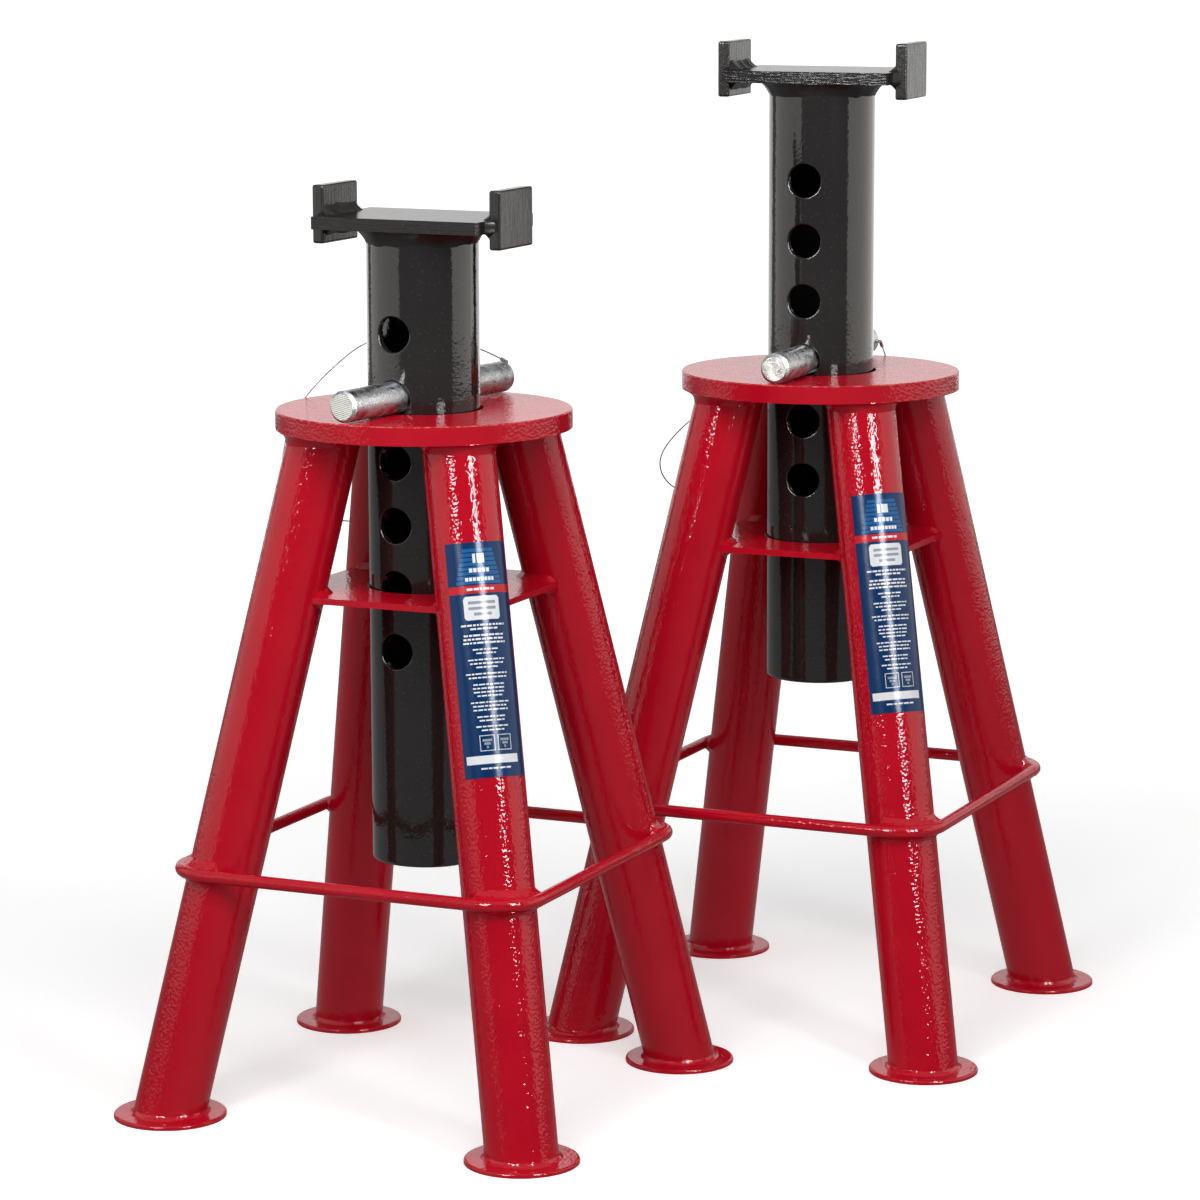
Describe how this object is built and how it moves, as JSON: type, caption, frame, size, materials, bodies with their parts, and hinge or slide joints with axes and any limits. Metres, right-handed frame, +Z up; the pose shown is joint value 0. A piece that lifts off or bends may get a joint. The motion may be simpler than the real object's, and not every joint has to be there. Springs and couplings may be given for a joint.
{
  "type": "pair of axle jack stands",
  "caption": "Two heavy pin-lock axle stands: a welded tubular frame on round feet, a drilled post with an eared saddle that slides through it, and a loose pin on a wire lanyard.",
  "frame": {"origin": "on the floor, midway between the two stands' vertical axes", "axes": "+Z up; +X to the right along the row, from stand a towards stand b; +Y to the back. Stand a's post axis is at (-0.1955, -0.0575) and stand b's at (0.1955, 0.0575)"},
  "size_m": [0.914, 0.638, 0.8276],
  "materials": {
    "red_paint": "gloss red powder coat",
    "black_paint": "gloss black paint",
    "zinc_pin": "zinc plated",
    "wire": "twisted steel wire",
    "label": "printed film"
  },
  "bodies": {
    "frame_a": {"top_plate_a": "red_paint", "guide_plate_a": "red_paint", "brace_ring_a": "red_paint", "leg_front_a": "red_paint", "leg_right_a": "red_paint", "leg_back_a": "red_paint", "leg_left_a": "red_paint", "foot_front_a": "red_paint", "foot_right_a": "red_paint", "foot_back_a": "red_paint", "foot_left_a": "red_paint", "rating_label_a": "label", "lanyard_lug_a": "red_paint", "lug_crimp_a": "wire", "lanyard_lower_a": "wire"},
    "post_a": {"post_tube_a": "black_paint", "saddle_plate_a": "black_paint", "saddle_ear_left_a": "black_paint", "saddle_ear_right_a": "black_paint"},
    "pin_a": {"locking_pin_a": "zinc_pin", "pin_crimp_a": "wire", "lanyard_upper_a": "wire"},
    "frame_b": {"top_plate_b": "red_paint", "guide_plate_b": "red_paint", "brace_ring_b": "red_paint", "leg_front_b": "red_paint", "leg_right_b": "red_paint", "leg_back_b": "red_paint", "leg_left_b": "red_paint", "foot_front_b": "red_paint", "foot_right_b": "red_paint", "foot_back_b": "red_paint", "foot_left_b": "red_paint", "rating_label_b": "label", "lanyard_lug_b": "red_paint", "lug_crimp_b": "wire", "lanyard_lower_b": "wire"},
    "post_b": {"post_tube_b": "black_paint", "saddle_plate_b": "black_paint", "saddle_ear_left_b": "black_paint", "saddle_ear_right_b": "black_paint"},
    "pin_b": {"locking_pin_b": "zinc_pin", "pin_crimp_b": "wire", "lanyard_upper_b": "wire"}
  },
  "joints": [
    {"name": "stand_b_apart", "type": "slide", "parent": "frame_a", "child": "frame_b", "axis": [1, 0, 0], "range_m": [0, 0.3]},
    {"name": "post_lift_a", "type": "slide", "parent": "frame_a", "child": "post_a", "axis": [0, 0, 1], "range_m": [0, 0.2]},
    {"name": "pin_pull_a", "type": "slide", "parent": "post_a", "child": "pin_a", "axis": [0.788, 0.6157, 0], "range_m": [0, 0.16]},
    {"name": "post_lift_b", "type": "slide", "parent": "frame_b", "child": "post_b", "axis": [0, 0, 1], "range_m": [0, 0.1]},
    {"name": "pin_pull_b", "type": "slide", "parent": "post_b", "child": "pin_b", "axis": [0.6884, 0.7254, 0], "range_m": [0, 0.16]}
  ]
}
